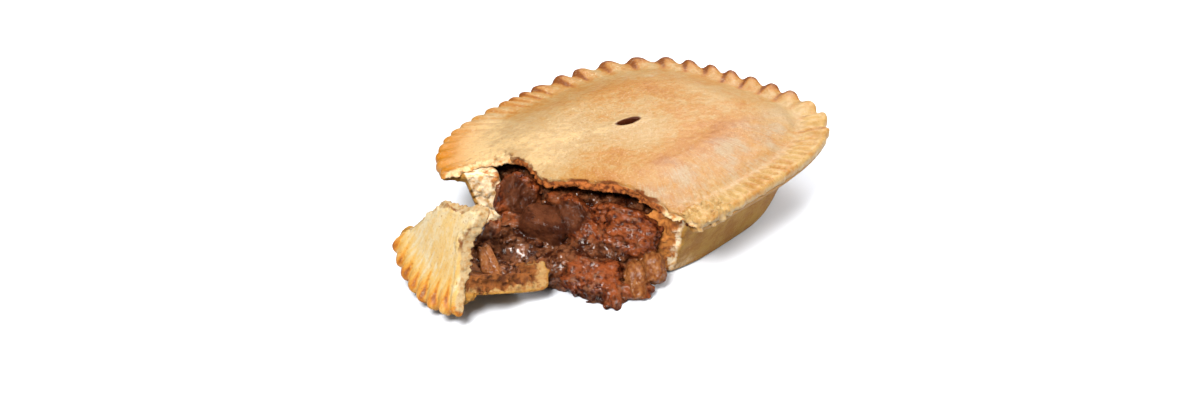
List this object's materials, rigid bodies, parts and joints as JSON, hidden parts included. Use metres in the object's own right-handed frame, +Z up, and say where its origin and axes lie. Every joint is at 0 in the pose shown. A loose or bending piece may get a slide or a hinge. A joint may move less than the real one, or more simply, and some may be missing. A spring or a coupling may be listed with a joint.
{
  "type": "steak and kidney pie",
  "caption": "Oblong shortcrust pie with a crimped rim and a vented lid, broken open at one end so that its meat and gravy filling spills out beside the broken-off crust.",
  "frame": {"origin": "middle of the flat underside of the standing pie, on the surface that it stands on", "axes": "+X along the pie's length with the broken end toward -X, +Y across the pie, +Z up"},
  "size_m": [0.1611, 0.108, 0.0332],
  "materials": {
    "case_crust": "baked shortcrust, dry, golden brown outside and pale where it is broken",
    "lid_crust": "glazed golden shortcrust, browner on the crimps",
    "meat_gravy": "braised beef and kidney in thick brown gravy, wet",
    "end_lid_crust": "pale golden shortcrust, browner on the crimps",
    "end_case_crust": "baked shortcrust, pale where it is broken and stained by gravy inside"
  },
  "bodies": {
    "root": {"pastry_case": "case_crust", "pastry_lid": "lid_crust", "filling": "meat_gravy", "broken_end_lid": "end_lid_crust", "broken_end_case": "end_case_crust"}
  },
  "joints": []
}
